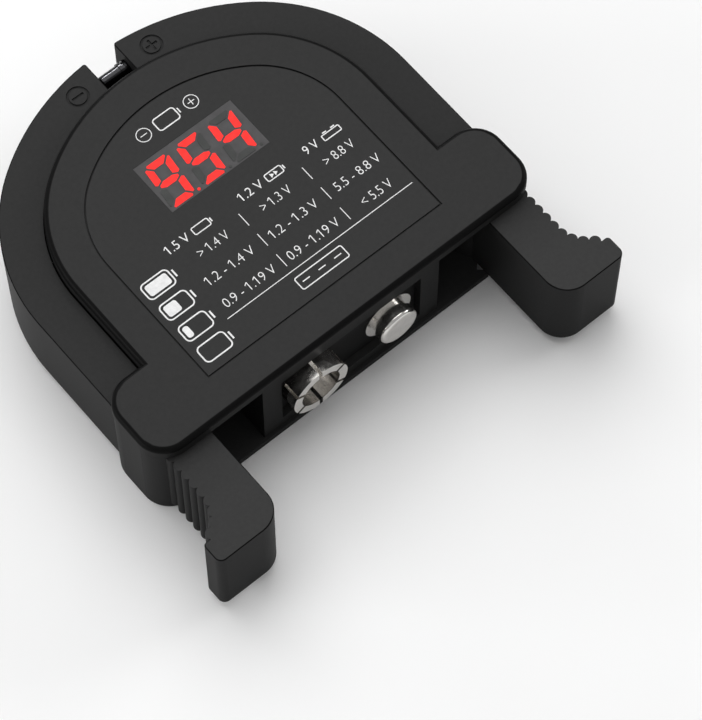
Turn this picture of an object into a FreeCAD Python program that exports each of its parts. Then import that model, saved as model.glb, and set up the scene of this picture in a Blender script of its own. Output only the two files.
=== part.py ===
"""Hand-held battery tester: two sprung jaw levers between a top and a bottom cover, with an LED display."""
import FreeCAD, Part
import math
import os
from FreeCAD import Vector as V

# All sizes are in millimetres. X runs across the jaws, Y from the finger arms to the jaw tips, Z up.
# The drawing datum is the label's straight front edge (y = 0) and the table (z = 0).

# Plan of the arch-shaped body
body_half_width = 23.0
body_back_y = 38.7
shoulder_radius = 17.7
crown_rise = 1.7
casing_wall = 1.6

# Heights of the stack
floor_thickness = 1.3
lid_thickness = 1.9
jaw_height = 13.0
slide_gap = 0.3
lid_overhang = 0.3
lid_edge_radius = 0.75
floor_lip = 0.15
floor_edge_radius = 0.3
seam_tongue = 0.8
seam_gap = 0.05

# Lever pivots and the ears around them
pivot_inset = 2.5
pivot_y = 0.5
ear_wall = 0.75
ear_front = 5.7
ear_back = 5.9
ear_radius = 4.0
lever_swing = 38.0
skirt_margin = 5.0
hub_wall = 1.1
hub_clearance = 0.5
pin_radius = 1.5
pin_seat_gap = 0.02
pin_running_gap = 0.06
pin_cover = 0.8
floor_boss_wall = 1.98
floor_boss_height = 1.5
lid_boss_wall = 0.68

# Jaws
jaw_gap = 0.35
jaw_width = 5.57
jaw_wall = 1.5
jaw_skin = 1.0
jaw_step = 0.1
lever_edge_radius = 0.15
tip_corner = 0.35
tip_gap = 4.5
rebate_wall = 1.0
jaw_cover_thickness = 1.3
cover_gap = 0.05
channel_front = 5.7

# Finger arms, measured from the pivot
arm_inner_reach = 3.73
arm_front = 19.42
rib_line_reach = 1.95
bend_radius = 5.0
flare_angle = 55.0
flare_run = 1.4
toe_ledge = 1.02
toe_flat = 3.2
toe_corner = 0.5
toe_radius = 1.0
arm_inner_radius = 3.4
rib_radius = 0.75
rib_pitch = 1.45
first_rib_front = 5.08
pocket_wall = 1.5
pocket_skin = 2.0
pocket_rib = 1.4

# Torsion springs
spring_bore_gap = 0.45
spring_wire = 0.6
spring_pitch = 1.05
spring_turns = 3
spring_room = 0.4
spring_end_gap = 0.15
spring_leg_angle = 135.0
leg_hole_gap = 0.1
leg_depth = 0.5

# Polarity marks engraved in the jaws
mark_inset = 3.6
mark_radius = 1.33
mark_line = 0.35
mark_depth = 0.2
mark_bar = 1.7

# Tip contacts
contact_radius = 0.8
contact_head_radius = 1.0
contact_drop = 2.3
contact_rest_gap = 0.3
contact_hole_gap = 0.05
contact_tail = 3.25
contact_tail_radius = 0.6
contact_nose = 0.4
collar_radius = 1.15
collar_neck = 0.98
collar_length = 1.2
plate_width = 3.6
plate_height = 9.0
plate_thickness = 0.4
strip_thickness = 0.5
strip_height = 5.0
strip_spring_gap = 0.15

# Block for the 9 V snaps
block_set_back = 0.3
notch_y = 0.2
snap_pitch = 12.7
snap_drop = 0.35
window_side_room = 0.45
window_head_room = 0.7
holder_recess = 1.0
holder_flange = 1.0
holder_overlap = 0.8
holder_gap = 0.1
holder_side_room = 0.5
snap_base = 0.4
stud_radius = 2.86
stud_neck_radius = 2.55
stud_neck = 0.9
stud_head = 1.4
stud_nose_radius = 0.47
stud_flange_radius = 3.6
socket_radius = 4.2
socket_bore = 2.95
socket_length = 2.4
socket_slots = 6
socket_slot = 0.5
rivet_radius = 1.0
rivet_head_radius = 1.5
rivet_head = 0.3
lead_width = 2.4
lead_thickness = 0.3

# Label and display
label_inset = 4.92
label_thickness = 0.25
label_recess = 0.3
label_edge_gap = 0.24
label_window_gap = 0.02
display_from_back = 14.85
display_width = 15.3
display_depth = 7.75
display_height = 4.95
display_sink = 0.07
display_gap = 0.1
digit_pitch = 4.92
digit_shift = -0.27
digit_drop = 0.27
digit_width = 3.7
digit_height = 6.75
digit_slant = 0.105
segment_width = 0.94
segment_gap = 0.2
segment_blunt = 0.32
segment_thickness = 0.06
point_radius = 0.2
point_gap = 0.35
lit_segments = ("abcdfgp", "acdfg", "bcfg")
pin_row_pitch = 6.0
pin_pitch = 2.54
pins_in_row = 5
display_pin_radius = 0.25
display_pin_tail = 1.0

# Circuit board
board_half_width = 12.6
board_front_y = 6.4
board_margin = 1.7
board_thickness = 1.2
board_post_inset = 1.8
board_post_radius = 1.7
board_screw_radius = 0.75
board_screw_length = 3.2
terminal_width = 1.6
terminal_thickness = 0.3
terminal_inset = 1.0
terminal_back = 7.1

# Components under the board
chip_back = 8.5
chip_width = 5.0
chip_length = 6.0
chip_height = 1.6
chip_leg_span = 7.0
chip_leg_width = 0.35
chip_leg_height = 0.5
chip_leg_pitch = 0.8
chip_legs_a_side = 7
coil_inset = 4.0
coil_radius = 2.6
coil_height = 3.0
coil_dish_radius = 1.1
coil_dish = 0.6
component_inset = 2.0
component_pitch = 2.0
component_length = 2.0
component_width = 1.2
capacitor_height = 1.0
capacitor_back = 5.0
capacitors = 3
resistor_height = 0.6
resistor_back = 12.0
resistors = 4

# Casing screws
front_post_gap = 0.6
front_post_y = 6.2
back_post_x = 9.8
back_post_gap = 0.4
post_radius = 2.8
lid_post_radius = 2.4
screw_radius = 1.0
screw_gap = 0.15
screw_grip = 4.5
screw_head_radius = 1.9
screw_head = 1.4
screw_sink = 2.0
recess_reach = 0.6
recess_width = 0.3
recess_depth = 0.5

# Values worked out from the driving dimensions
jaw_bottom = floor_thickness + slide_gap
jaw_top = jaw_bottom + jaw_height
lid_bottom = jaw_top + slide_gap
top = lid_bottom + lid_thickness
seam_z = top / 2
shoulder_y = body_back_y - crown_rise - shoulder_radius
display_y = body_back_y - display_from_back
pivot_x = body_half_width + pivot_inset
floor_boss_radius = pin_radius + pin_seat_gap + floor_boss_wall
lid_boss_radius = pin_radius + pin_seat_gap + lid_boss_wall
lid_boss_length = spring_pitch * spring_turns + spring_wire + spring_end_gap
spring_radius = lid_boss_radius + spring_bore_gap + spring_wire / 2
spring_outer = spring_radius + spring_wire / 2
spring_well = spring_outer + spring_room
hub_radius = spring_well + hub_wall
ear_reach = spring_well + ear_wall
bar_half_width = pivot_x + ear_reach
bar_front_y = pivot_y - ear_front
bar_back_y = pivot_y + ear_back
block_front_y = bar_front_y + block_set_back
jaw_reach = jaw_gap + jaw_width
channel_top = jaw_top - jaw_skin
channel_y = pivot_y + channel_front
rebate_y = channel_y - rebate_wall / 2
bore_bottom = jaw_bottom + floor_boss_height
bore_top = lid_bottom - lid_boss_length - slide_gap
spring_low = bore_top + slide_gap + spring_wire / 2
tip_x = tip_gap / 2
tip_mid_y = body_back_y + jaw_gap + jaw_width / 2
mark_x = tip_x + mark_inset
ear_corner = math.hypot(ear_reach - ear_radius, ear_back - ear_radius) + ear_radius
contact_z = jaw_top - contact_drop
strip_low = channel_top - strip_height
snap_z = seam_z - snap_drop
window_half_width = snap_pitch / 2 + socket_radius + window_side_room
window_height = 2 * (socket_radius + window_head_room)
block_half_width = window_half_width + holder_overlap + holder_side_room + casing_wall
holder_face_y = block_front_y + holder_recess
block_inner_y = block_front_y + casing_wall
holder_back_y = block_inner_y + holder_flange
display_face = top - display_sink
board_top = display_face - display_height
board_bottom = board_top - board_thickness
board_back_y = display_y + display_depth / 2 + board_margin
terminal_x = board_half_width - terminal_inset
terminal_y = board_front_y + terminal_back
front_post_x = board_half_width + front_post_gap + post_radius
back_post_y = board_back_y + back_post_gap + post_radius
label_bottom = top - label_recess
toe_front_y = pivot_y - arm_front
flare = math.radians(flare_angle)
rib_x = pivot_x + rib_line_reach
bend_x = rib_x + bend_radius
ledge_y = toe_front_y + toe_flat
bend_y = ledge_y + flare_run * math.cos(flare) + bend_radius * math.sin(flare)
ledge_x = bend_x - bend_radius * math.cos(flare) + flare_run * math.sin(flare)
toe_x = ledge_x + toe_ledge
rib_run = pivot_y - first_rib_front - bend_y
rib_count = int((rib_run + bend_radius * flare + flare_run) / rib_pitch) + 1

# The arch's crown arc touches both shoulder arcs, whose centres stand shoulder_x from the middle
shoulder_x = body_half_width - shoulder_radius
crown_extra = (shoulder_x ** 2 + crown_rise ** 2) / (2 * crown_rise)
crown_radius = shoulder_radius + crown_extra
crown_y = body_back_y - crown_radius
mark_y = crown_y + math.sqrt((crown_radius + jaw_reach - jaw_width / 2) ** 2 - mark_x ** 2)
tip_round_radius = crown_radius + jaw_reach - tip_corner
tip_back_y = crown_y + math.sqrt(tip_round_radius ** 2 - (tip_x + tip_corner) ** 2) + tip_corner
middle_y = (tip_back_y + toe_front_y) / 2


def box(x0, x1, y0, y1, z0, z1):
    return Part.makeBox(x1 - x0, y1 - y0, z1 - z0, V(x0, y0, z0))


def disc(x, y, radius, z0, z1):
    return Part.makeCylinder(radius, z1 - z0, V(x, y, z0))


def rod_y(x, z, radius, y0, y1):
    return Part.makeCylinder(radius, y1 - y0, V(x, y0, z), V(0, 1, 0))


def rod_x(y, z, radius, x0, x1):
    return Part.makeCylinder(radius, x1 - x0, V(x0, y, z), V(1, 0, 0))


def prism(edges, z0, z1):
    face = Part.Face(Part.Wire(edges))
    face.translate(V(0, 0, z0))
    return face.extrude(V(0, 0, z1 - z0))


def polygon(points, z0, z1):
    corners = [V(x, y, 0) for x, y in points]
    return prism(Part.makePolygon(corners + corners[:1]).Edges, z0, z1)


def join(shapes):
    return shapes[0].multiFuse(shapes[1:]).removeSplitter()


def mirrored(shape):
    return shape.mirror(V(0, 0, 0), V(1, 0, 0))


def both_sides(shape):
    return [shape, mirrored(shape)]


def arc_point(centre, radius, angle):
    return V(centre.x + radius * math.cos(angle), centre.y + radius * math.sin(angle), 0)


def arch(offset, front_y, z0, z1):
    """Three-arc arch grown by offset: straight sides, two shoulders and a flatter crown."""
    side = body_half_width + offset
    shoulder = V(shoulder_x, shoulder_y, 0)
    meet = math.atan2(shoulder_y - crown_y, shoulder_x)
    radius = shoulder_radius + offset
    right_meet = arc_point(shoulder, radius, meet)
    right_mid = arc_point(shoulder, radius, meet / 2)
    left_meet = V(-right_meet.x, right_meet.y, 0)
    left_mid = V(-right_mid.x, right_mid.y, 0)
    crown_top = V(0, body_back_y + offset, 0)
    corners = [V(-side, front_y, 0), V(side, front_y, 0)]
    ends = [V(-side, shoulder_y, 0), V(side, shoulder_y, 0)]
    edges = [
        Part.LineSegment(corners[0], corners[1]).toShape(),
        Part.LineSegment(corners[1], ends[1]).toShape(),
        Part.Arc(ends[1], right_mid, right_meet).toShape(),
        Part.Arc(right_meet, crown_top, left_meet).toShape(),
        Part.Arc(left_meet, left_mid, ends[0]).toShape(),
        Part.LineSegment(ends[0], corners[0]).toShape(),
    ]
    return prism(edges, z0, z1)


def rounded_box(x0, x1, y0, y1, radius, z0, z1):
    block = box(x0, x1, y0, y1, z0, z1)
    uprights = [e for e in block.Edges if abs(e.BoundBox.ZLength - (z1 - z0)) < 1e-6]
    return block.makeFillet(radius, uprights)


def softened(solid, radius, levels):
    """Round the level edges of a prism at the given heights."""
    rims = []
    for edge in solid.Edges:
        bounds = edge.BoundBox
        if any(abs(bounds.ZMin - z) + abs(bounds.ZMax - z) < 1e-6 for z in levels):
            rims.append(edge)
    return solid.makeFillet(radius, rims)


def bar(inset, z0, z1):
    """Front bar with its two rounded ears."""
    side = bar_half_width - inset
    radius = ear_radius - inset
    return rounded_box(-side, side, bar_front_y + inset, bar_back_y - inset, radius, z0, z1)


def plate(z0, z1, spread):
    """Outline of a cover: the arch and the front bar, which may be spread outwards."""
    return join([arch(lid_overhang, pivot_y, z0, z1), bar(-spread, z0, z1)])


def core(inset, z0, z1):
    """Body between the levers: the arch less room for the hubs and for the arms to swing in."""
    solid = arch(-inset, block_front_y + inset, z0, z1)
    hub_room = disc(pivot_x, pivot_y, hub_radius + hub_clearance + inset, z0, z1)
    arm_room = box(block_half_width - inset, bar_half_width, bar_front_y, notch_y + inset, z0, z1)
    return solid.cut(both_sides(hub_room) + both_sides(arm_room))


def core_wall(z0, z1, outer=0.0, inner=casing_wall):
    return core(outer, z0, z1).cut(core(inner, z0, z1))


def band(inner, outer, x_min, y_min, z0, z1):
    """Right half of a strip that follows the arch between two offsets, cut at the tip and at the front."""
    reach = bar_half_width + jaw_reach
    ring = arch(outer, y_min, z0, z1).cut(arch(inner, y_min - 1, z0, z1))
    return ring.common(box(x_min, reach, y_min, body_back_y + reach, z0, z1))


def case_posts():
    front = (front_post_x, front_post_y)
    back = (back_post_x, back_post_y)
    return [(side * x, y) for x, y in (front, back) for side in (1, -1)]


def board_posts():
    x = board_half_width - board_post_inset
    front = board_front_y + board_post_inset
    back = board_back_y - board_post_inset
    return [(side * x, y) for y in (front, back) for side in (1, -1)]


def display_pin_places():
    rows = (display_y - pin_row_pitch / 2, display_y + pin_row_pitch / 2)
    first = -pin_pitch * (pins_in_row - 1) / 2
    return [(first + pin_pitch * i, y) for y in rows for i in range(pins_in_row)]


def leg_place():
    """Upper leg of the right spring, on the side of the hub that faces the board."""
    return arc_point(V(pivot_x, pivot_y, 0), spring_radius, math.radians(spring_leg_angle))


def terminal_bar(z0, z1):
    """Flat bar from the right spring's leg to the board's terminal."""
    leg = leg_place()
    run = V(terminal_x, terminal_y, 0) - leg
    half = terminal_width / 2
    strip = box(-half, run.Length + half, -half, half, z0, z1)
    strip.rotate(V(0, 0, 0), V(0, 0, 1), math.degrees(math.atan2(run.y, run.x)))
    strip.translate(leg)
    return strip


def make_top_cover():
    lid = softened(plate(lid_bottom, top, 0), lid_edge_radius, [top])
    solids = [lid, core_wall(seam_z, lid_bottom)]
    cuts = []
    for x, y in case_posts():
        room = core(0, seam_z, lid_bottom)
        solids.append(disc(x, y, lid_post_radius, seam_z, lid_bottom).common(room))
        cuts.append(disc(x, y, screw_radius, seam_z, seam_z + screw_grip))
    for x, y in board_posts():
        solids.append(disc(x, y, board_post_radius, board_top, lid_bottom))
        cuts.append(disc(x, y, board_screw_radius, board_top, lid_bottom))
    for side in (1, -1):
        x = side * pivot_x
        solids.append(disc(x, pivot_y, lid_boss_radius, lid_bottom - lid_boss_length, lid_bottom))
        seat = pin_radius + pin_seat_gap
        cuts.append(disc(x, pivot_y, seat, lid_bottom - lid_boss_length, top - pin_cover))
    leg = leg_place()
    leg_hole_top = lid_bottom + leg_depth + leg_hole_gap
    leg_hole = disc(leg.x, leg.y, spring_wire / 2 + leg_hole_gap, lid_bottom, leg_hole_top)
    groove = terminal_bar(lid_bottom, lid_bottom + terminal_thickness)
    cuts += both_sides(leg_hole) + both_sides(groove)
    cuts.append(arch(-label_inset + label_edge_gap, -label_edge_gap, label_bottom, top))
    cuts.append(display_room(display_gap, lid_bottom, top))
    cuts.append(snap_window())
    groove_top = seam_z + seam_tongue + seam_gap
    cuts.append(core_wall(seam_z, groove_top, casing_wall / 2 - seam_gap, casing_wall))
    return join(solids).cut(cuts)


def make_bottom_cover():
    floor = softened(plate(0, floor_thickness, floor_lip), floor_edge_radius, [0])
    solids = [floor.cut(both_sides(skirt_room())), core_wall(floor_thickness, seam_z)]
    tongue = core_wall(seam_z, seam_z + seam_tongue, casing_wall / 2, casing_wall)
    cuts = [snap_window()]
    for x, y in case_posts():
        tongue = tongue.cut(disc(x, y, lid_post_radius + seam_gap, seam_z, top))
        room = core(0, floor_thickness, seam_z)
        solids.append(disc(x, y, post_radius, floor_thickness, seam_z).common(room))
        cuts.append(disc(x, y, screw_radius + screw_gap, 0, seam_z))
        cuts.append(disc(x, y, screw_head_radius + screw_gap, 0, screw_sink))
    for side in (1, -1):
        x = side * pivot_x
        boss_top = floor_thickness + floor_boss_height
        solids.append(disc(x, pivot_y, floor_boss_radius, floor_thickness, boss_top))
        cuts.append(disc(x, pivot_y, pin_radius + pin_seat_gap, pin_cover, boss_top))
        rib_x = side * (window_half_width - holder_overlap)
        rib = box(rib_x - casing_wall / 2, rib_x + casing_wall / 2, holder_back_y,
                  holder_back_y + casing_wall, floor_thickness, seam_z)
        solids.append(rib)
    return join(solids + [tongue]).cut(cuts)


def skirt_room():
    """Room in the floor for the right ear's skirt over the lever's swing, round the boss and its neck."""
    radius = ear_corner + slide_gap
    centre = V(pivot_x, pivot_y, 0)
    start = math.radians(90 + skirt_margin)
    end = math.radians(270 - lever_swing - skirt_margin)
    fan = [arc_point(centre, 2 * radius, angle) for angle in (start, (start + end) / 2, end)]
    neck = polygon([(p.x, p.y) for p in [centre] + fan], 0, floor_thickness)
    boss = disc(pivot_x, pivot_y, floor_boss_radius, 0, floor_thickness)
    under_arm = box(pivot_x - arm_inner_reach + slide_gap, bar_half_width, bar_front_y - floor_lip, pivot_y,
                    0, floor_thickness)
    return disc(pivot_x, pivot_y, radius, 0, floor_thickness).fuse(under_arm).cut([boss, neck])


def snap_window():
    side = window_half_width
    half = window_height / 2
    return box(-side, side, block_front_y, block_inner_y, snap_z - half, snap_z + half)


def display_room(gap, z0, z1):
    half_x = display_width / 2 + gap
    half_y = display_depth / 2 + gap
    return box(-half_x, half_x, display_y - half_y, display_y + half_y, z0, z1)


def make_label():
    sheet = arch(-label_inset, 0, label_bottom, label_bottom + label_thickness)
    return sheet.cut(display_room(label_window_gap, label_bottom, top))


def segment_outlines():
    """The seven bars of one upright digit, centred on its middle, by their usual letters."""
    w = digit_width / 2
    h = digit_height / 2
    t = segment_width
    g = segment_gap
    top_bar = [(-w + g, h), (w - g, h), (w - t - g, h - t), (-w + t + g, h - t)]
    upper_left = [(-w, h - g), (-w, g), (-w + t, t / 2 + g), (-w + t, h - t - g)]
    middle = [(-w + g, 0), (-w + t + g, t / 2), (w - t - g, t / 2), (w - g, 0),
              (w - t - g, -t / 2), (-w + t + g, -t / 2)]

    def flip(points, sx, sy):
        return [(sx * x, sy * y) for x, y in points]

    return {
        "a": top_bar,
        "b": flip(upper_left, -1, 1),
        "c": flip(upper_left, -1, -1),
        "d": flip(top_bar, 1, -1),
        "e": flip(upper_left, 1, -1),
        "f": upper_left,
        "g": middle,
    }


def blunted(points):
    """Outline of a bar with its sharp corners cut off."""
    corners = [V(x, y, 0) for x, y in points]
    outline = []
    for i, corner in enumerate(corners):
        sides = [corners[i - 1] - corner, corners[(i + 1) % len(corners)] - corner]
        places = [corner]
        if sides[0].getAngle(sides[1]) < math.pi / 2:
            places = [corner + side.normalize() * segment_blunt for side in sides]
        outline += [(p.x, p.y) for p in places]
    return outline


def make_segments(lit):
    """Bars and points of the three digits that are lit, or those that are not."""
    z0 = display_face
    z1 = display_face + segment_thickness
    centre_y = display_y - digit_drop
    foot = digit_height / 2
    solids = []
    for i, shown in enumerate(lit_segments):
        centre_x = digit_shift + digit_pitch * (i - 1)
        for letter, points in segment_outlines().items():
            if (letter in shown) == lit:
                slanted = [(centre_x + x + digit_slant * y, centre_y + y) for x, y in blunted(points)]
                solids.append(polygon(slanted, z0, z1))
        if ("p" in shown) == lit:
            point_x = centre_x + digit_width / 2 - digit_slant * foot + point_gap + point_radius
            solids.append(disc(point_x, centre_y - foot + point_radius, point_radius, z0, z1))
    return Part.makeCompound(solids)


def make_board():
    board = rounded_box(-board_half_width, board_half_width, board_front_y, board_back_y,
                        board_post_inset / 2, board_bottom, board_top)
    screw_hole = board_screw_radius + screw_gap
    pin_hole = display_pin_radius + seam_gap
    holes = [disc(x, y, screw_hole, board_bottom, board_top) for x, y in board_posts()]
    holes += [disc(x, y, pin_hole, board_bottom, board_top) for x, y in display_pin_places()]
    return board.cut(holes)


def make_display_pins():
    low = board_bottom - display_pin_tail
    pins = [disc(x, y, display_pin_radius, low, board_top) for x, y in display_pin_places()]
    return Part.makeCompound(pins)


def under_board(x, y, width, depth, height):
    """Component that hangs under the board."""
    half_x = width / 2
    half_y = depth / 2
    return box(x - half_x, x + half_x, y - half_y, y + half_y, board_bottom - height, board_bottom)


def make_chip():
    y = board_front_y + chip_back
    first = y - chip_leg_pitch * (chip_legs_a_side - 1) / 2
    solids = [under_board(0, y, chip_width, chip_length, chip_height)]
    for i in range(chip_legs_a_side):
        leg_y = first + chip_leg_pitch * i
        solids.append(under_board(0, leg_y, chip_leg_span, chip_leg_width, chip_leg_height))
    return join(solids)


def make_converter():
    """Round coil can with a dished end."""
    x = board_half_width - coil_inset
    y = board_front_y + chip_back
    low = board_bottom - coil_height
    return disc(x, y, coil_radius, low, board_bottom).cut(disc(x, y, coil_dish_radius, low, low + coil_dish))


def make_small_components():
    """A row of resistors across the board and a column of capacitors along its left side."""
    first_x = -board_half_width + component_inset
    solids = []
    for i in range(resistors):
        x = first_x + component_pitch * i
        y = board_front_y + resistor_back
        solids.append(under_board(x, y, component_width, component_length, resistor_height))
    for i in range(capacitors):
        x = first_x + component_length
        y = board_front_y + capacitor_back + component_pitch * i
        solids.append(under_board(x, y, component_length, component_width, capacitor_height))
    return Part.makeCompound(solids)


def screw(x, y, tip_z, head_z, shank_radius, head_radius, head_height):
    """Pan-head screw driven upwards, with a cross recess as shares of its head."""
    low = head_z - head_height
    head = disc(x, y, head_radius, low, head_z)
    shank = disc(x, y, shank_radius, head_z, tip_z)
    arm = head_radius * recess_reach
    half = head_radius * recess_width / 2
    deep = low + head_height * recess_depth
    cross = [box(x - arm, x + arm, y - half, y + half, low, deep),
             box(x - half, x + half, y - arm, y + arm, low, deep)]
    return join([head, shank]).cut(cross)


def make_case_screws():
    tip = seam_z + screw_grip
    solids = [screw(x, y, tip, screw_sink, screw_radius, screw_head_radius, screw_head)
              for x, y in case_posts()]
    return Part.makeCompound(solids)


def make_board_screws():
    tip = board_bottom + board_screw_length
    head_radius = board_screw_radius * 2
    solids = [screw(x, y, tip, board_bottom, board_screw_radius, head_radius, board_screw_radius)
              for x, y in board_posts()]
    return Part.makeCompound(solids)


def make_holder():
    """Insulating plate in the block's window, with a flange behind the block's wall."""
    side = window_half_width - holder_gap
    half = window_height / 2 - holder_gap
    nose = box(-side, side, holder_face_y, block_inner_y, snap_z - half, snap_z + half)
    wide = window_half_width + holder_overlap
    tall = window_height / 2 + holder_overlap
    flange = box(-wide, wide, block_inner_y, holder_back_y, snap_z - tall, snap_z + tall)
    hole = rod_y(snap_pitch / 2, snap_z, rivet_radius, holder_face_y, holder_back_y)
    return join([nose, flange]).cut(both_sides(hole))


def rivet(x):
    tail = rod_y(x, snap_z, rivet_radius, holder_face_y, holder_back_y)
    return [tail, rod_y(x, snap_z, rivet_head_radius, holder_back_y, holder_back_y + rivet_head)]


def make_stud():
    x = snap_pitch / 2
    base_y = holder_face_y - snap_base
    neck_y = base_y - stud_neck
    head = rod_y(x, snap_z, stud_radius, neck_y - stud_head, neck_y)
    nose = [e for e in head.Edges if e.BoundBox.YMax < neck_y - stud_head + 1e-6]
    head = head.makeFillet(stud_nose_radius, nose)
    flange = rod_y(x, snap_z, stud_flange_radius, base_y, holder_face_y)
    neck = rod_y(x, snap_z, stud_neck_radius, neck_y, base_y)
    return join([flange, neck, head] + rivet(x))


def make_socket():
    x = -snap_pitch / 2
    base_y = holder_face_y - snap_base
    end_y = base_y - socket_length
    bore = rod_y(x, snap_z, socket_bore, end_y, base_y)
    cup = rod_y(x, snap_z, socket_radius, end_y, base_y).cut(bore)
    slots = []
    for i in range(socket_slots):
        slot = box(0, 2 * socket_radius, end_y, base_y, -socket_slot / 2, socket_slot / 2)
        slot.rotate(V(0, 0, 0), V(0, 1, 0), 360.0 * (i + 0.5) / socket_slots)
        slot.translate(V(x, 0, snap_z))
        slots.append(slot)
    flange = rod_y(x, snap_z, socket_radius, base_y, holder_face_y)
    return join([cup.cut(slots), flange] + rivet(x))


def make_lead(side):
    """Strip from a snap's rivet, back under the board and up to it."""
    x = side * snap_pitch / 2
    start = holder_back_y + rivet_head
    end = board_front_y + lead_width
    half = lead_width / 2
    flat = box(x - half, x + half, start, end, snap_z - lead_thickness, snap_z)
    riser = box(x - half, x + half, end - lead_thickness, end, snap_z - lead_thickness, board_bottom)
    return join([flat, riser])


def make_pin():
    return disc(pivot_x, pivot_y, pin_radius, pin_cover, top - pin_cover - pin_seat_gap)


def helix_point(turn):
    """Point of the right spring's coil; the coil ends at its upper leg."""
    angle = math.radians(spring_leg_angle) + 2 * math.pi * (turn - spring_turns)
    point = arc_point(V(pivot_x, pivot_y, 0), spring_radius, angle)
    return V(point.x, point.y, spring_low + spring_pitch * turn)


def make_spring():
    """Torsion spring round the lid's boss, with one leg up in the lid and one down in the hub."""
    quarters = 4 * spring_turns
    edges = []
    for i in range(quarters):
        ends = [helix_point((i + part) / 4) for part in (0, 0.5, 1)]
        edges.append(Part.Arc(*ends).toShape())
    path = Part.Wire(edges)
    start = helix_point(0)
    ahead = path.Edges[0].tangentAt(path.Edges[0].FirstParameter)
    section = Part.Wire(Part.makeCircle(spring_wire / 2, start, ahead))
    coil = path.makePipeShell([section], True, False)
    end = helix_point(spring_turns)
    radius = spring_wire / 2
    upper = disc(end.x, end.y, radius, end.z, lid_bottom + leg_depth)
    lower = disc(start.x, start.y, radius, bore_top - leg_depth, start.z)
    knees = [Part.makeSphere(radius, start), Part.makeSphere(radius, end)]
    return coil.multiFuse([upper, lower] + knees)


def make_terminal():
    """Strip let into the lid from the spring's leg, with a tab down to the board."""
    strip = terminal_bar(lid_bottom, lid_bottom + terminal_thickness)
    leg = leg_place()
    strip = strip.cut(disc(leg.x, leg.y, spring_wire / 2 + seam_gap, lid_bottom, top))
    half = terminal_width / 2
    tab = box(terminal_x - half, terminal_x + half, terminal_y - terminal_thickness, terminal_y,
              board_top, lid_bottom)
    return join([strip, tab])


def arm_outline():
    """Right finger arm: straight inner side, round inner toe, and an outer side that flares to a ledge."""
    inner_x = pivot_x - arm_inner_reach
    bend = V(bend_x, bend_y, 0)
    bend_mid = arc_point(bend, bend_radius, math.pi + flare / 2)
    bend_end = arc_point(bend, bend_radius, math.pi + flare)
    ledge = V(ledge_x, ledge_y, 0)
    corner = V(toe_x - toe_corner, ledge_y - toe_corner, 0)
    corner_mid = arc_point(corner, toe_corner, math.pi / 4)
    outer_toe = V(toe_x - toe_radius, toe_front_y + toe_radius, 0)
    outer_mid = arc_point(outer_toe, toe_radius, -math.pi / 4)
    inner_toe = V(inner_x + arm_inner_radius, toe_front_y + arm_inner_radius, 0)
    inner_mid = arc_point(inner_toe, arm_inner_radius, -3 * math.pi / 4)
    path = [
        (V(rib_x, pivot_y, 0), V(rib_x, bend_y, 0)),
        (V(rib_x, bend_y, 0), bend_mid, bend_end),
        (bend_end, ledge),
        (ledge, V(corner.x, ledge_y, 0)),
        (V(corner.x, ledge_y, 0), corner_mid, V(toe_x, corner.y, 0)),
        (V(toe_x, corner.y, 0), V(toe_x, outer_toe.y, 0)),
        (V(toe_x, outer_toe.y, 0), outer_mid, V(outer_toe.x, toe_front_y, 0)),
        (V(outer_toe.x, toe_front_y, 0), V(inner_toe.x, toe_front_y, 0)),
        (V(inner_toe.x, toe_front_y, 0), inner_mid, V(inner_x, inner_toe.y, 0)),
        (V(inner_x, inner_toe.y, 0), V(inner_x, pivot_y, 0)),
        (V(inner_x, pivot_y, 0), V(rib_x, pivot_y, 0)),
    ]
    return [Part.Arc(*p).toShape() if len(p) == 3 else Part.LineSegment(*p).toShape() for p in path]


def rib_places():
    """Ribs at a steady pitch down the straight side, round the bend and along the flare."""
    bend = V(bend_x, bend_y, 0)
    bend_length = bend_radius * flare
    bend_end = arc_point(bend, bend_radius, math.pi + flare)
    places = []
    for i in range(rib_count):
        past_bend = rib_pitch * i - rib_run
        past_flare = past_bend - bend_length
        if past_bend < 0:
            places.append(V(rib_x, bend_y - past_bend, 0))
        elif past_flare < 0:
            places.append(arc_point(bend, bend_radius, math.pi + past_bend / bend_radius))
        else:
            places.append(arc_point(bend_end, past_flare, flare - math.pi / 2))
    return places


def arm_pockets():
    """Two coring pockets under the arm, with a rib between them."""
    x0 = pivot_x - arm_inner_reach + pocket_wall
    x1 = rib_x - pocket_wall
    front = toe_front_y + pocket_wall
    back = bar_front_y
    middle = (front + back) / 2
    z1 = jaw_top - pocket_skin
    return [box(x0, x1, front, middle - pocket_rib / 2, jaw_bottom, z1),
            box(x0, x1, middle + pocket_rib / 2, back, jaw_bottom, z1)]


def round_tip(jaw):
    """Round the upright outer edge of the jaw's tip."""
    corner = [e for e in jaw.Edges if e.BoundBox.XMax < tip_x + 1e-6 and e.BoundBox.YMin > tip_mid_y]
    return jaw.makeFillet(tip_corner, corner)


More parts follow.
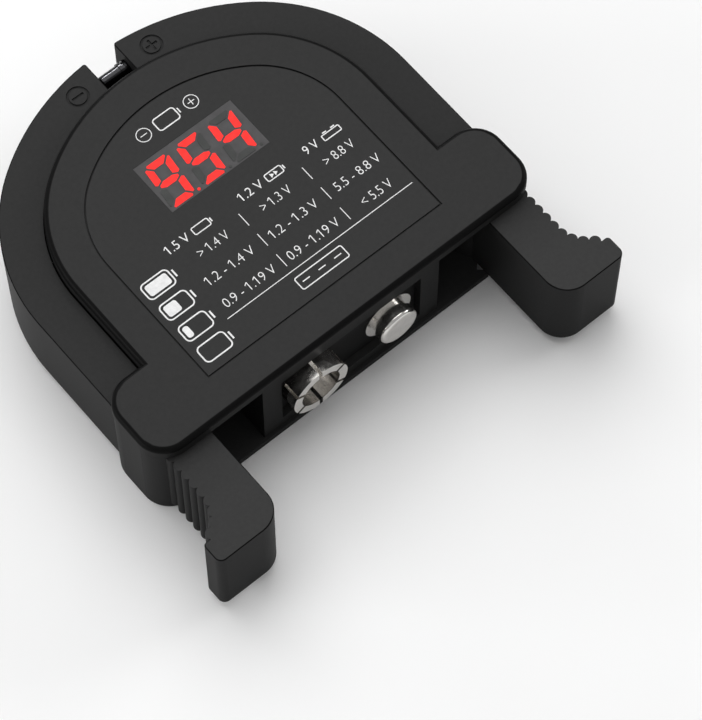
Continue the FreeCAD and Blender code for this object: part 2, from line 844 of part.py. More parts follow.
def make_lever():
    """Right lever without its tip contact: jaw, hub, finger arm, and an ear with a skirt past the floor."""
    z0 = jaw_bottom
    z1 = jaw_top
    jaw = softened(round_tip(band(jaw_gap, jaw_reach, tip_x, pivot_y, z0, z1)), lever_edge_radius, [z1])
    ribs = [disc(p.x, p.y, rib_radius, z0, z1) for p in rib_places()]
    arm = join([softened(prism(arm_outline(), z0, z1), lever_edge_radius, [z1]), join(ribs)])
    outside = box(pivot_x, bar_half_width, bar_front_y, bar_back_y, slide_gap, z1)
    ear = bar(jaw_step, slide_gap, z1).common(outside)
    inside = box(0, bar_half_width - jaw_step, bar_front_y, bar_back_y, z0, z1)
    hub = disc(pivot_x, pivot_y, hub_radius, z0, z1).common(inside)
    lever = join([join([jaw, ear, hub]), arm])
    return lever.cut(arm_pockets() + hub_cuts() + jaw_cuts() + mark_cuts())


def hub_cuts():
    """Spring well, boss seat, pin bore and the hole for the spring's lower leg."""
    leg = helix_point(0)
    leg_hole_low = bore_top - leg_depth - leg_hole_gap
    return [
        disc(pivot_x, pivot_y, spring_well, bore_top, jaw_top),
        disc(pivot_x, pivot_y, floor_boss_radius + slide_gap, 0, bore_bottom + slide_gap),
        disc(pivot_x, pivot_y, pin_radius + pin_running_gap, bore_bottom, bore_top),
        disc(leg.x, leg.y, spring_wire / 2 + leg_hole_gap, leg_hole_low, bore_top),
    ]


def jaw_cuts():
    """Channel along the jaw, the rebate for its cover, and the slot from the channel to the spring."""
    strip_x = body_half_width + jaw_gap + jaw_width / 2
    return [
        band(jaw_gap + jaw_wall, jaw_reach - jaw_wall, tip_x + jaw_wall, channel_y,
             jaw_bottom, channel_top),
        band(jaw_gap + rebate_wall, jaw_reach - rebate_wall, tip_x + rebate_wall, rebate_y,
             jaw_bottom, jaw_bottom + jaw_cover_thickness),
        box(strip_x - strip_thickness, strip_x + strip_thickness, pivot_y + spring_outer, channel_y,
            bore_top, channel_top),
    ]


def mark_bar_cut(reach_x, reach_y):
    return box(mark_x - reach_x, mark_x + reach_x, mark_y - reach_y, mark_y + reach_y,
               jaw_top - mark_depth, jaw_top)


def mark_cuts():
    """Engraved ring with a level bar."""
    low = jaw_top - mark_depth
    half = mark_line / 2
    ring = disc(mark_x, mark_y, mark_radius + half, low, jaw_top)
    core_disc = disc(mark_x, mark_y, mark_radius - half, low, jaw_top)
    return [ring.cut(core_disc), mark_bar_cut(mark_bar / 2, half)]


def contact_hole():
    return rod_x(tip_mid_y, contact_z, contact_radius + contact_hole_gap, tip_x, tip_x + jaw_wall)


def make_jaw_right():
    """Plus side: the mark gets its upright bar and the tip a hole for the contact pin."""
    upright = mark_bar_cut(mark_line / 2, mark_bar / 2)
    return make_lever().cut([upright, contact_hole()])


def make_jaw_left():
    """Minus side: the tip has a shallow seat for the contact plate and a hole for its tail."""
    return mirrored(make_lever().cut([plate_seat(tip_x, contact_hole_gap), contact_hole()]))


def plate_seat(x0, gap):
    half = plate_width / 2 + gap
    high = contact_z + contact_radius + gap
    low = high - plate_height - 2 * gap
    return box(x0, x0 + plate_thickness, tip_mid_y - half, tip_mid_y + half, low, high)


def make_contact_minus():
    """Plate flush with the left tip, with a tail into the channel."""
    shank = rod_x(tip_mid_y, contact_z, contact_radius, tip_x + plate_thickness, tip_x + jaw_wall)
    return mirrored(join([plate_seat(tip_x, 0), shank, contact_tail_rod()]))


def contact_tail_rod():
    """Thin tail of a tip contact, from inside the tip's wall to the strip."""
    return rod_x(tip_mid_y, contact_z, contact_tail_radius, tip_x + jaw_wall, tip_x + contact_tail)


def make_contact_plus():
    """Round-ended head that spans the gap between the closed tips, on a shank through the collar."""
    end = -tip_x + contact_rest_gap
    shoulder = tip_x - collar_length
    head = rod_x(tip_mid_y, contact_z, contact_head_radius, end, shoulder)
    nose = [e for e in head.Edges if e.BoundBox.XMax < end + 1e-6]
    shank = rod_x(tip_mid_y, contact_z, contact_radius, shoulder, tip_x + jaw_wall)
    return join([head.makeFillet(contact_nose, nose), shank, contact_tail_rod()])


def make_collar():
    """Bush with two rings where the pin leaves the right tip."""
    third = collar_length / 3
    radii = (collar_radius, collar_neck, collar_radius)
    rings = []
    for i, radius in enumerate(radii):
        x1 = tip_x - third * i
        rings.append(rod_x(tip_mid_y, contact_z, radius, x1 - third, x1))
    bore = rod_x(tip_mid_y, contact_z, contact_radius + contact_hole_gap, tip_x - collar_length, tip_x)
    return join(rings).cut(bore)


def make_strip():
    """Strip along the right jaw's channel, from the tip contact to the spring."""
    middle = jaw_gap + jaw_width / 2
    half = strip_thickness / 2
    step_y = channel_y + jaw_wall / 2
    run = band(middle - half, middle + half, tip_x + contact_tail, step_y, strip_low, channel_top)
    x = body_half_width + middle
    end = pivot_y + spring_outer + strip_spring_gap
    tail = box(x - half, x + half, end, step_y, bore_top + slide_gap, channel_top)
    return join([run, tail])


def make_jaw_cover():
    """Strip that closes the channel under the right jaw."""
    wall = rebate_wall + cover_gap
    return band(jaw_gap + wall, jaw_reach - wall, tip_x + wall, rebate_y + cover_gap,
                jaw_bottom, jaw_bottom + jaw_cover_thickness)


nodes = {
    "top_cover": make_top_cover(),
    "bottom_cover": make_bottom_cover(),
    "label_sheet": make_label(),
    "display_module": display_room(0, board_top, display_face),
    "display_segments_lit": make_segments(True),
    "display_segments_off": make_segments(False),
    "display_pins": make_display_pins(),
    "circuit_board": make_board(),
    "controller_chip": make_chip(),
    "voltage_converter": make_converter(),
    "board_components": make_small_components(),
    "board_screws": make_board_screws(),
    "case_screws": make_case_screws(),
    "snap_holder": make_holder(),
    "snap_stud": make_stud(),
    "snap_socket": make_socket(),
    "snap_lead_right": make_lead(1),
    "snap_lead_left": make_lead(-1),
    "jaw_right": make_jaw_right(),
    "jaw_left": make_jaw_left(),
    "contact_plus": make_contact_plus(),
    "contact_collar": make_collar(),
    "contact_minus": make_contact_minus(),
}
pairs = {
    "pivot_pin": make_pin(),
    "spring": make_spring(),
    "spring_terminal": make_terminal(),
    "contact_strip": make_strip(),
    "jaw_cover": make_jaw_cover(),
}
for name, shape in pairs.items():
    nodes[name + "_right"] = shape
    nodes[name + "_left"] = mirrored(shape)

os.makedirs("parts", exist_ok=True)
for name, shape in nodes.items():
    shape.translate(V(0, -middle_y, 0))
    shape.exportStep("parts/" + name + ".step")
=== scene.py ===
"""Looks of the battery tester: finishes, label print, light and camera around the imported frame."""

import math

import bmesh
import bpy
from mathutils import Matrix, Vector


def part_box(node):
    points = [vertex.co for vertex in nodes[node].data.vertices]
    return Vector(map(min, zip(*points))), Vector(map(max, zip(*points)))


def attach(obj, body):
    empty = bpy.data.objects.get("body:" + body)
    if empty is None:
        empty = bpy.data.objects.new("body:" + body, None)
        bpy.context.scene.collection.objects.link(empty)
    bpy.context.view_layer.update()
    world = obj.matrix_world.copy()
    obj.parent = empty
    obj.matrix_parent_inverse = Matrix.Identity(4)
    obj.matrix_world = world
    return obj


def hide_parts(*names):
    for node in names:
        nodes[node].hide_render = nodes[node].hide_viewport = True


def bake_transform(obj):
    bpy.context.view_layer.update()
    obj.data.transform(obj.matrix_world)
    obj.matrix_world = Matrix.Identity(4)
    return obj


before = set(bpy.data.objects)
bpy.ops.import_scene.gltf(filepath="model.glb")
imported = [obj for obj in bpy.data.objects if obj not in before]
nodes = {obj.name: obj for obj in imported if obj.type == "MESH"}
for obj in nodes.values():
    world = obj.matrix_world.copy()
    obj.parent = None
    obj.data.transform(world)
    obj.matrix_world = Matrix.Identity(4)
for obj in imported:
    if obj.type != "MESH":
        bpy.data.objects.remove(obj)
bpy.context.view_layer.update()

MM = 0.001

# Camera, in degrees and millimetres, aimed at the cover's top above the middle of the label's front edge
view_azimuth = -39.911
view_elevation = 64.312
view_distance = 402.55
view_right = 3.056
view_up = -8.62
view_near = 10.0
# Height of the picture and focal length in pixels, and the width of the sensor in millimetres
image_height = 720
focal_pixels = 3344.8
sensor_width = 36.0

# Light: level of the world, then place, width and height in metres and watts of each lamp
world_level = 0.42
lamps = {
    "softbox": ((0.12, 0.32, 0.64), 0.8, 0.8, 3.8),
    "left_strip": ((-0.6, 0.22, 0.19), 0.5, 0.06, 1.7),
    "back_panel": ((0.195, 0.54, 0.4), 0.1, 0.08, 1.2),
    "right_fill": ((0.6, -0.1, 0.25), 0.3, 0.2, 0.8),
}
# Lamps that show in reflections only, for the bright stripe on the contact pin
mirror_lamps = ("back_panel",)

# Floor, in metres, with its mottling in millimetres
floor_half_width = 3.0
floor_colour = 0.96
floor_variation = 0.01
floor_mottle = 40.0
floor_roughness = 0.9
floor_specular = 0.1

# Values between which most of a noise lies
noise_span = (0.3, 0.7)
# How level a surface is where round edges begin, where level faces begin, and where their tone is full; walls
# and round edges below these get painted shade
edge_levels = (0.12, 0.985, 0.997)
# Refraction of the matt dark plastic, low because its texture breaks up the mirror image
plastic_ior = 1.1
# Where painted light pales the levers' level faces, from the pivots to the toes, in metres along Y
painted_light_span = (-0.014, -0.026)

# Print on the label, in millimetres from the middle of its front edge
ink_thickness = 0.012
headings = (("1.5 V", -11.42, -8.2), ("1.2 V", 0.0, 3.3), ("9 V", 10.0, 12.1))
heading_baseline = 15.6
heading_cap = 1.22
heading_weight = -0.003
heading_icons = (-7.5, 3.95, 12.9)
heading_icon_width = 2.6
heading_icon_radius = 0.3
heading_icon_stroke = 0.15
heading_icon_nub = (0.12, 0.18, 0.6)
arrow_places = (0.75, 1.35)
arrow_size = (0.5, 0.7)
block_icon_width = 2.8
block_icon_radius = 0.2
block_stud_places = (0.45, 1.75)
block_stud_size = (0.6, 0.18)
block_stud_gap = 0.08
row_cap = 1.28
row_weight = -0.012
flag_reach = 0.32
flag_drop = 0.24
flag_stroke = 0.15
row_baselines = (12.8, 9.2, 5.55)
row_words = (
    ("> 1.4 V", "> 1.3 V", "> 8.8 V"),
    ("1.2 - 1.4 V", "1.2 - 1.3 V", "5.5 - 8.8 V"),
    ("0.9 - 1.19 V", "0.9 - 1.19 V", "< 5.5 V"),
)
row_spans = (
    ((-8.82, -4.32), (0.98, 5.45), (10.98, 15.48)),
    ((-10.27, -3.27), (-0.3, 6.7), (9.7, 16.65)),
    ((-10.72, -2.92), (-0.72, 7.08), (10.92, 15.48)),
)
divider_columns = (-1.62, 8.4)
divider_height = 2.05
divider_drop = 0.22
line_width = 0.11
rule_y = 4.4
rule_span = (-11.62, 17.42)
charge_icon_left = -17.23
charge_icon_size = (4.2, 2.62)
charge_icon_stroke = 0.19
charge_icon_radius = 0.7
charge_icon_nub = (0.27, 0.23, 1.14)
charge_icon_inset = 0.48
charge_fill_radius = 0.35
charge_icon_bottoms = (12.02, 8.42, 4.77, 1.17)
charge_fills = (3.24, 1.9, 0.85, 0.0)
blank_icon_span = (-2.2, 5.2)
blank_icon_height = 2.0
blank_icon_radius = 0.35
blank_dashes = 3
blank_dash = 1.1
polarity_y = 30.65
polarity_places = (-3.64, 3.8)
polarity_radius = 0.96
polarity_stroke = 0.11
polarity_bar = 1.02
cell_icon_span = (-1.8, 1.6)
cell_icon_height = 2.05
cell_icon_stroke = 0.17
cell_icon_radius = 0.5
cell_icon_nub = (0.2, 0.16, 0.8)
# Half the depth of the letters in font units, before they are pressed to the ink's thickness
letter_half_depth = 0.5


def label_frame():
    """Middle of the label's front edge, on its printed face."""
    low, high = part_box("label_sheet")
    return Vector(((low.x + high.x) / 2, low.y, high.z))


label_origin = label_frame()


def set_camera():
    azimuth = math.radians(view_azimuth)
    elevation = math.radians(view_elevation)
    right = Vector((math.cos(azimuth), math.sin(azimuth), 0))
    back = Vector((math.sin(azimuth) * math.cos(elevation), -math.cos(azimuth) * math.cos(elevation),
                   math.sin(elevation)))
    up = back.cross(right)
    target = Vector((label_origin.x, label_origin.y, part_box("top_cover")[1].z))
    place = target + (right * view_right + up * view_up + back * view_distance) * MM
    camera = bpy.data.cameras.new("photo_camera")
    camera.lens = focal_pixels / image_height * sensor_width
    camera.sensor_width = sensor_width
    camera.clip_start = view_near * MM
    holder = bpy.data.objects.new("photo_camera", camera)
    axes = Matrix((right, up, back)).transposed().to_4x4()
    holder.matrix_world = Matrix.Translation(place) @ axes
    bpy.context.scene.collection.objects.link(holder)
    bpy.context.scene.camera = holder


class Shader:
    """Small helper that builds one node material."""

    def __init__(self, name):
        self.material = bpy.data.materials.new(name)
        self.material.use_nodes = True
        self.tree = self.material.node_tree
        self.bsdf = self.tree.nodes["Principled BSDF"]
        self.place = self.tree.nodes.new("ShaderNodeTexCoord").outputs["Object"]

    def add(self, kind, **inputs):
        node = self.tree.nodes.new(kind)
        for key, value in inputs.items():
            node.inputs[key].default_value = value
        return node

    def link(self, source, target):
        self.tree.links.new(source, target)

    def noise(self, size_mm, detail):
        node = self.add("ShaderNodeTexNoise", Scale=1 / (size_mm * MM), Detail=detail)
        self.link(self.place, node.inputs["Vector"])
        return node.outputs["Fac"]

    def spread(self, source, low, high, span=noise_span):
        """Source scaled so that its span runs from low to high."""
        start, end = span
        node = self.tree.nodes.new("ShaderNodeMapRange")
        for key, value in (("From Min", start), ("From Max", end), ("To Min", low), ("To Max", high)):
            node.inputs[key].default_value = value
        self.link(source, node.inputs["Value"])
        return node.outputs["Result"]

    def ramp(self, source, dark, light):
        """Colour that runs from dark to light over the span of a noise."""
        node = self.tree.nodes.new("ShaderNodeValToRGB")
        for element, place, tone in zip(node.color_ramp.elements, noise_span, (dark, light)):
            element.position = place
            element.color = (*tone, 1)
        self.link(source, node.inputs["Fac"])
        return node.outputs["Color"]

    def colour(self, source, dark, light):
        self.link(self.ramp(source, dark, light), self.bsdf.inputs["Base Color"])

    def profile(self, source, stops):
        """Grey level that follows a source through several stops."""
        node = self.tree.nodes.new("ShaderNodeValToRGB")
        elements = node.color_ramp.elements
        while len(elements) < len(stops):
            elements.new(0.5)
        for element, (place, value) in zip(elements, stops):
            element.position = place
            element.color = (value, value, value, 1)
        self.link(source, node.inputs["Fac"])
        return node.outputs["Color"]

    def part_of(self, vector, axis):
        split = self.tree.nodes.new("ShaderNodeSeparateXYZ")
        self.link(vector, split.inputs[0])
        return split.outputs[axis]

    def level(self):
        """One on level faces, zero on walls, between the two on round edges."""
        normal = self.tree.nodes.new("ShaderNodeNewGeometry").outputs["Normal"]
        return self.math("ABSOLUTE", self.part_of(normal, "Z"))

    def frontward(self):
        """Zero at the pivots, rising to one at the front of the arms."""
        return self.spread(self.part_of(self.place, "Y"), 0.0, 1.0, painted_light_span)

    def math(self, operation, *values):
        """Sum, product or other function of sockets and plain numbers."""
        node = self.tree.nodes.new("ShaderNodeMath")
        node.operation = operation
        for value, target in zip(values, node.inputs):
            if isinstance(value, float):
                target.default_value = value
            else:
                self.link(value, target)
        return node.outputs[0]

    def times(self, first, second):
        """Product of two colours or levels."""
        node = self.tree.nodes.new("ShaderNodeMix")
        node.data_type = "RGBA"
        node.blend_type = "MULTIPLY"
        node.inputs["Factor"].default_value = 1.0
        self.link(first, node.inputs["A"])
        self.link(second, node.inputs["B"])
        return node.outputs["Result"]

    def rough(self, source, low, high):
        self.link(self.spread(source, low, high), self.bsdf.inputs["Roughness"])

    def bump(self, source, depth_mm, strength):
        node = self.add("ShaderNodeBump", Strength=strength, Distance=depth_mm * MM)
        self.link(source, node.inputs["Height"])
        self.link(node.outputs["Normal"], self.bsdf.inputs["Normal"])


def grey(level):
    return (level, level, level)


def edge_stops(wall, edge, face):
    """Stops of a level that differs on walls, round edges and level faces."""
    return tuple(zip((0.0, *edge_levels), (wall, edge, edge, face)))


def moulded_plastic(name, face, wall, edge, rough, edge_rough, painted_light_share=0.0):
    """Dark moulded plastic with textured faces and smooth edges; its walls and round edges are painted darker
    as shade.

    A part with a painted light share has its level faces painted paler to the front by that share.
    """
    shader = Shader(name)
    level = shader.level()
    # Painted shade: walls and round edges darker than level faces, by how level the surface is
    tone = shader.profile(level, edge_stops(wall, edge, face))
    grain = shader.ramp(shader.noise(size_mm=0.5, detail=3.0), dark=grey(0.9), light=grey(1.0))
    # Painted light: level faces paler towards the front of the arms
    if painted_light_share:
        level_faces = edge_stops(wall=0.0, edge=0.0, face=painted_light_share)
        painted_front_light = shader.math("MULTIPLY", shader.frontward(), shader.profile(level, level_faces))
        tone = shader.times(tone, shader.math("ADD", painted_front_light, 1.0))
    shader.link(shader.times(tone, grain), shader.bsdf.inputs["Base Color"])
    gloss = shader.profile(level, edge_stops(rough, edge_rough, rough))
    shader.link(gloss, shader.bsdf.inputs["Roughness"])
    shader.bump(shader.noise(size_mm=0.16, detail=1.0), depth_mm=0.01, strength=0.06)
    shader.bsdf.inputs["IOR"].default_value = plastic_ior
    return shader.material


def printed_film(name, level):
    """Satin film, a little uneven in tone."""
    shader = Shader(name)
    shader.colour(shader.noise(size_mm=0.6, detail=3.0), dark=grey(level * 0.95), light=grey(level * 1.05))
    shader.rough(shader.noise(size_mm=1.2, detail=4.0), low=0.42, high=0.48)
    shader.bump(shader.noise(size_mm=0.3, detail=2.0), depth_mm=0.01, strength=0.05)
    shader.bsdf.inputs["IOR"].default_value = plastic_ior
    return shader.material


def white_ink(name):
    """Matt ink that covers unevenly."""
    shader = Shader(name)
    shader.colour(shader.noise(size_mm=0.5, detail=3.0), dark=grey(0.72), light=grey(0.86))
    shader.rough(shader.noise(size_mm=0.4, detail=3.0), low=0.5, high=0.65)
    return shader.material


def display_resin(name, level, tint):
    """Cast resin of the display's face and of its dark segments."""
    shader = Shader(name)
    dark = tuple(level * 0.9 * c for c in tint)
    light = tuple(level * 1.1 * c for c in tint)
    shader.colour(shader.noise(size_mm=1.5, detail=4.0), dark, light)
    shader.rough(shader.noise(size_mm=0.8, detail=3.0), low=0.38, high=0.5)
    shader.bump(shader.noise(size_mm=0.2, detail=2.0), depth_mm=0.01, strength=0.06)
    shader.bsdf.inputs["IOR"].default_value = plastic_ior
    return shader.material


def lit_segment(name):
    """Red bar that glows a little unevenly."""
    shader = Shader(name)
    shader.colour(shader.noise(size_mm=0.6, detail=2.0), dark=(0.2, 0.006, 0.006), light=(0.24, 0.008, 0.007))
    glow = shader.ramp(shader.noise(size_mm=0.7, detail=2.0), dark=(1.0, 0.042, 0.037),
                       light=(1.0, 0.056, 0.05))
    shader.link(glow, shader.bsdf.inputs["Emission Color"])
    shader.bsdf.inputs["Emission Strength"].default_value = 0.95
    shader.bsdf.inputs["Roughness"].default_value = 0.4
    shader.bsdf.inputs["IOR"].default_value = plastic_ior
    return shader.material


def metal(name, colour, rough, grain_mm, grain=0.1):
    """Bare or plated metal with faint stains and a fine grain."""
    shader = Shader(name)
    stained = tuple(0.9 * c for c in colour)
    shader.colour(shader.noise(size_mm=grain_mm * 6, detail=3.0), dark=stained, light=colour)
    shader.rough(shader.noise(size_mm=grain_mm * 2, detail=4.0), low=rough - 0.05, high=rough + 0.07)
    shader.bump(shader.noise(size_mm=grain_mm, detail=2.0), depth_mm=0.005, strength=grain)
    shader.bsdf.inputs["Metallic"].default_value = 1.0
    return shader.material


def solder_mask(name):
    """Green lacquer of the board."""
    shader = Shader(name)
    shader.colour(shader.noise(size_mm=1.4, detail=5.0), dark=(0.006, 0.09, 0.035), light=(0.012, 0.15, 0.06))
    shader.rough(shader.noise(size_mm=0.8, detail=3.0), low=0.25, high=0.4)
    shader.bump(shader.noise(size_mm=0.5, detail=3.0), depth_mm=0.02, strength=0.15)
    return shader.material


def ceramic(name):
    """Tan ceramic of the small components."""
    shader = Shader(name)
    shader.colour(shader.noise(size_mm=0.6, detail=4.0), dark=(0.36, 0.27, 0.17), light=(0.5, 0.4, 0.27))
    shader.rough(shader.noise(size_mm=0.3, detail=3.0), low=0.45, high=0.6)
    return shader.material


def finish_nodes():
    """Gives every CAD node its finish."""
    # Wall and edge tones of the moulded parts are painted shade, darker than their level faces
    case = {"wall": 0.018, "edge": 0.006, "rough": 0.46, "edge_rough": 0.36}
    cover = moulded_plastic("cover_plastic", face=0.0365, **case)
    lever = moulded_plastic("lever_plastic", face=0.0345, painted_light_share=0.32, **case)
    # Painted shade: the nickel pin and collar are coloured near black for the dark surroundings they reflect
    nickel_painted_dark = metal("nickel_painted_dark", (0.035, 0.035, 0.037), rough=0.17, grain_mm=0.3, grain=0.0)
    nickel = metal("nickel", (0.78, 0.76, 0.73), rough=0.2, grain_mm=0.2)
    steel = metal("steel", (0.6, 0.6, 0.62), rough=0.32, grain_mm=0.15)
    brass = metal("strip_brass", (0.8, 0.6, 0.28), rough=0.35, grain_mm=0.2)
    epoxy = moulded_plastic("component_black", face=0.03, wall=0.02, edge=0.02, rough=0.6, edge_rough=0.5)
    insulator = moulded_plastic("snap_insulator", face=0.02, wall=0.012, edge=0.012, rough=0.55,
                                edge_rough=0.45)
    finishes = {
        cover: ("top_cover", "bottom_cover"),
        lever: ("jaw_right", "jaw_left", "jaw_cover_right", "jaw_cover_left"),
        printed_film("label_film", level=0.0375): ("label_sheet",),
        display_resin("display_face", level=0.088, tint=(1.0, 0.98, 1.0)): ("display_module",),
        display_resin("segment_off", level=0.069, tint=(0.97, 1.0, 0.98)): ("display_segments_off",),
        lit_segment("segment_lit"): ("display_segments_lit",),
        insulator: ("snap_holder",),
        nickel_painted_dark: ("contact_plus", "contact_collar"),
        nickel: ("contact_minus", "snap_stud", "snap_socket", "display_pins"),
        steel: ("pivot_pin_right", "pivot_pin_left", "spring_right", "spring_left", "case_screws",
                "board_screws"),
        brass: ("contact_strip_right", "contact_strip_left", "spring_terminal_right", "spring_terminal_left",
                "snap_lead_right", "snap_lead_left"),
        solder_mask("board_laminate"): ("circuit_board",),
        epoxy: ("controller_chip", "voltage_converter"),
        ceramic("component_tan"): ("board_components",),
    }
    for material, names in finishes.items():
        for name in names:
            mesh = nodes[name].data
            mesh.materials.clear()
            mesh.materials.append(material)


def twist_springs():
    """Copies of the lever springs as separate pieces in place, with the imported springs hidden."""
    for side in ("right", "left"):
        node = "spring_" + side
        piece = bpy.data.objects.new("twisting_" + node, nodes[node].data.copy())
        bpy.context.scene.collection.objects.link(piece)
        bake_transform(piece)
        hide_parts(node)


def circle(x, y, radius, count=48):
    turns = [2 * math.pi * i / count for i in range(count)]
    return [(x + radius * math.cos(t), y + radius * math.sin(t)) for t in turns]


def rounded(x0, x1, y0, y1, radius, steps=8):
    """Outline of a rectangle with round corners, anticlockwise."""
    corners = ((x1 - radius, y0 + radius, -90), (x1 - radius, y1 - radius, 0),
               (x0 + radius, y1 - radius, 90), (x0 + radius, y0 + radius, 180))
    points = []
    for x, y, start in corners:
        for i in range(steps + 1):
            turn = math.radians(start + 90 * i / steps)
            points.append((x + radius * math.cos(turn), y + radius * math.sin(turn)))
    return points


def letters(text, weight):
    """Mesh of a line of text in font units."""
    curve = bpy.data.curves.new("letters", "FONT")
    curve.body = text
    curve.extrude = letter_half_depth
    curve.offset = weight
    holder = bpy.data.objects.new("letters", curve)
    bpy.context.scene.collection.objects.link(holder)
    mesh = bpy.data.meshes.new_from_object(holder.evaluated_get(bpy.context.evaluated_depsgraph_get()))
    bpy.data.objects.remove(holder)
    bpy.data.curves.remove(curve)
    return mesh


def ends_of(mesh):
    """Left and right ends of a mesh."""
    places = [v.co.x for v in mesh.vertices]
    return min(places), max(places)


def text_ends(text, weight):
    """Left and right ends of a line of text in font units."""
    mesh = letters(text, weight)
    ends = ends_of(mesh)
    bpy.data.meshes.remove(mesh)
    return ends


class Print:
    """Flat ink shapes gathered into one mesh, drawn in millimetres on the label."""

    def __init__(self):
        self.mesh = bmesh.new()

    def ring_of(self, points, z):
        return [self.mesh.verts.new((x, y, z)) for x, y in points]

    def walls(self, low, high, outward=True):
        for i in range(len(low)):
            j = (i + 1) % len(low)
            quad = (low[i], low[j], high[j], high[i])
            self.mesh.faces.new(quad if outward else quad[::-1])

    def plate(self, points):
        low = self.ring_of(points, 0)
        high = self.ring_of(points, ink_thickness)
        self.mesh.faces.new(low[::-1])
        self.mesh.faces.new(high)
        self.walls(low, high)

    def band(self, outer, inner):
        rings = [self.ring_of(points, z) for z in (0, ink_thickness) for points in (outer, inner)]
        low_outer, low_inner, high_outer, high_inner = rings
        self.walls(low_outer, high_outer)
        self.walls(low_inner, high_inner, False)
        self.walls(high_outer, high_inner)
        self.walls(low_outer, low_inner, False)

    def bar(self, x0, x1, y0, y1):
        self.plate([(x0, y0), (x1, y0), (x1, y1), (x0, y1)])

    def outline(self, x0, x1, y0, y1, radius, stroke):
        inner = rounded(x0 + stroke, x1 - stroke, y0 + stroke, y1 - stroke, radius - stroke)
        self.band(rounded(x0, x1, y0, y1, radius), inner)

    def cell(self, x0, x1, y0, y1, radius, stroke, nub):
        """Outlined cell with its terminal: nub gives the gap, width and height of the terminal."""
        gap, wide, tall = nub
        middle = (y0 + y1) / 2
        self.outline(x0, x1, y0, y1, radius, stroke)
        self.bar(x1 + gap, x1 + gap + wide, middle - tall / 2, middle + tall / 2)

    def ring(self, x, y, radius, stroke):
        self.band(circle(x, y, radius + stroke / 2), circle(x, y, radius - stroke / 2))

    def words(self, text, x0, x1, baseline, cap, weight):
        """Text stretched to a span and a capital height; a negative weight thins the strokes."""
        mesh = letters(text, weight)
        left, right = ends_of(mesh)
        tall = max(v.co.y for v in mesh.vertices)
        across = (x1 - x0) / (right - left)
        stretch = Matrix.Diagonal((across, cap / tall, ink_thickness, 1))
        mesh.transform(Matrix.Translation((x0, baseline, ink_thickness / 2)) @ stretch
                       @ Matrix.Translation((-left, 0, 0)))
        self.mesh.from_mesh(mesh)
        bpy.data.meshes.remove(mesh)
        one_left, one_right = text_ends("1", weight)
        for place in [i for i, letter in enumerate(text) if letter == "1"]:
            end = text_ends(text[:place + 1], weight)[1]
            self.flag(x0 + (end - (one_right - one_left) - left) * across, baseline + cap)

    def flag(self, x, y):
        """Slanting flag at the top left of a figure one."""
        low = y - flag_drop
        self.plate([(x - flag_reach, low - flag_stroke), (x, y - flag_stroke), (x, y), (x - flag_reach, low)])

    def piece(self, name, material):
        """Places the shapes on the label as one piece."""
        mesh = bpy.data.meshes.new(name)
        self.mesh.to_mesh(mesh)
        self.mesh.free()
        mesh.transform(Matrix.Translation(label_origin) @ Matrix.Scale(MM, 4))
        mesh.materials.append(material)
        piece = bpy.data.objects.new(name, mesh)
        bpy.context.scene.collection.objects.link(piece)
        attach(piece, "body")


def print_charge_icons(ink):
    """Column of cells, from full to empty."""
    icons = Print()
    wide, tall = charge_icon_size
    left = charge_icon_left
    inset = charge_icon_inset
    for bottom, fill in zip(charge_icon_bottoms, charge_fills):
        icons.cell(left, left + wide, bottom, bottom + tall, charge_icon_radius, charge_icon_stroke,
                   charge_icon_nub)
        if fill:
            icons.plate(rounded(left + inset, left + inset + fill, bottom + inset, bottom + tall - inset,
                                charge_fill_radius))
    icons.piece("label_charge_icons", ink)


def print_polarity(ink):
    """Cell between a minus and a plus in rings, behind the display."""
    icons = Print()
    for x in polarity_places:
        icons.ring(x, polarity_y, polarity_radius, polarity_stroke)
    half = polarity_bar / 2
    thin = polarity_stroke / 2
    minus_x, plus_x = polarity_places
    icons.bar(minus_x - half, minus_x + half, polarity_y - thin, polarity_y + thin)
    icons.bar(plus_x - half, plus_x + half, polarity_y - thin, polarity_y + thin)
    icons.bar(plus_x - thin, plus_x + thin, polarity_y + thin, polarity_y + half)
    icons.bar(plus_x - thin, plus_x + thin, polarity_y - half, polarity_y - thin)
    x0, x1 = cell_icon_span
    tall = cell_icon_height / 2
    icons.cell(x0, x1, polarity_y - tall, polarity_y + tall, cell_icon_radius, cell_icon_stroke,
               cell_icon_nub)
    icons.piece("label_polarity_icons", ink)


def print_table(ink):
    """Headings and rows of voltages."""
    table = Print()
    for text, x0, x1 in headings:
        table.words(text, x0, x1, heading_baseline, heading_cap, heading_weight)
    for baseline, words, spans in zip(row_baselines, row_words, row_spans):
        for text, (x0, x1) in zip(words, spans):
            table.words(text, x0, x1, baseline, row_cap, row_weight)
    table.piece("label_numbers", ink)


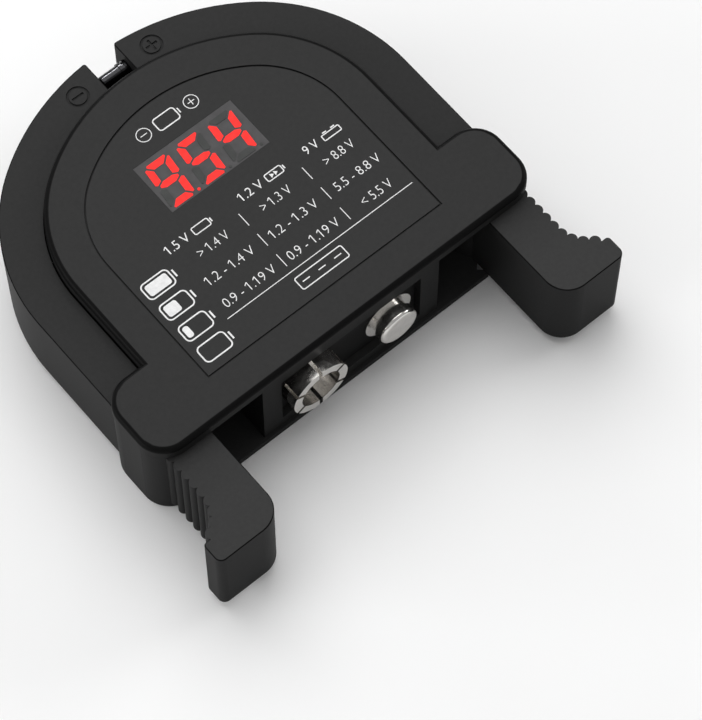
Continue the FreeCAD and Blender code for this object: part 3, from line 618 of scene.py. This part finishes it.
def print_kind_icons(ink):
    """Plain cell, rechargeable cell and block beside the headings, and a blank display at the foot."""
    icons = Print()
    stroke = heading_icon_stroke
    low = heading_baseline
    high = low + heading_cap
    middle = (low + high) / 2
    cell_x, charge_x, block_x = heading_icons
    for x in (cell_x, charge_x):
        icons.cell(x, x + heading_icon_width, low, high, heading_icon_radius, stroke, heading_icon_nub)
    long, tall = arrow_size
    for x in [charge_x + place for place in arrow_places]:
        icons.plate([(x, middle - tall / 2), (x + long, middle), (x, middle + tall / 2)])
    stud_wide, stud_tall = block_stud_size
    stud_low = high - stud_tall
    icons.outline(block_x, block_x + block_icon_width, low, stud_low - block_stud_gap, block_icon_radius,
                  stroke)
    for x in [block_x + place for place in block_stud_places]:
        icons.bar(x, x + stud_wide, stud_low, high)
    x0, x1 = blank_icon_span
    middle = charge_icon_bottoms[-1] + charge_icon_size[1] / 2
    tall = blank_icon_height / 2
    icons.outline(x0, x1, middle - tall, middle + tall, blank_icon_radius, stroke)
    step = (x1 - x0) / blank_dashes
    for i in range(blank_dashes):
        x = x0 + step * (i + 0.5)
        icons.bar(x - blank_dash / 2, x + blank_dash / 2, middle - stroke / 2, middle + stroke / 2)
    icons.piece("label_kind_icons", ink)


def print_lines(ink):
    """Dividers between the columns, and the rule under the table."""
    lines = Print()
    half = line_width / 2
    for x in divider_columns:
        for baseline in row_baselines:
            low = baseline - divider_drop
            lines.bar(x - half, x + half, low, low + divider_height)
    lines.bar(*rule_span, rule_y - half, rule_y + half)
    lines.piece("label_lines", ink)


def set_lamps():
    """Soft area lamps, all aimed at the middle of the floor."""
    for name, (place, width, height, watts) in lamps.items():
        lamp = bpy.data.lights.new(name, "AREA")
        lamp.shape = "RECTANGLE"
        lamp.size = width
        lamp.size_y = height
        lamp.energy = watts
        holder = bpy.data.objects.new(name, lamp)
        holder.location = place
        holder.rotation_euler = (-Vector(place)).to_track_quat("-Z", "Y").to_euler()
        holder.visible_diffuse = name not in mirror_lamps
        bpy.context.scene.collection.objects.link(holder)


def set_world():
    world = bpy.data.worlds.new("studio")
    bpy.context.scene.world = world
    world.use_nodes = True
    background = world.node_tree.nodes["Background"]
    background.inputs["Color"].default_value = (1, 1, 1, 1)
    background.inputs["Strength"].default_value = world_level


def set_floor():
    mesh = bpy.data.meshes.new("floor")
    side = floor_half_width
    corners = [(-side, -side, 0), (side, -side, 0), (side, side, 0), (-side, side, 0)]
    mesh.from_pydata(corners, [], [(0, 1, 2, 3)])
    floor = bpy.data.objects.new("floor", mesh)
    bpy.context.scene.collection.objects.link(floor)
    shader = Shader("pale_floor")
    shader.colour(shader.noise(floor_mottle, detail=2.0), dark=grey(floor_colour - floor_variation),
                  light=grey(floor_colour + floor_variation))
    shader.bsdf.inputs["Roughness"].default_value = floor_roughness
    shader.bsdf.inputs["Specular IOR Level"].default_value = floor_specular
    mesh.materials.append(shader.material)


set_camera()
set_world()
set_floor()
set_lamps()
bpy.context.scene.view_settings.view_transform = "Standard"
finish_nodes()
twist_springs()
ink = white_ink("white_ink")
print_charge_icons(ink)
print_polarity(ink)
print_table(ink)
print_kind_icons(ink)
print_lines(ink)
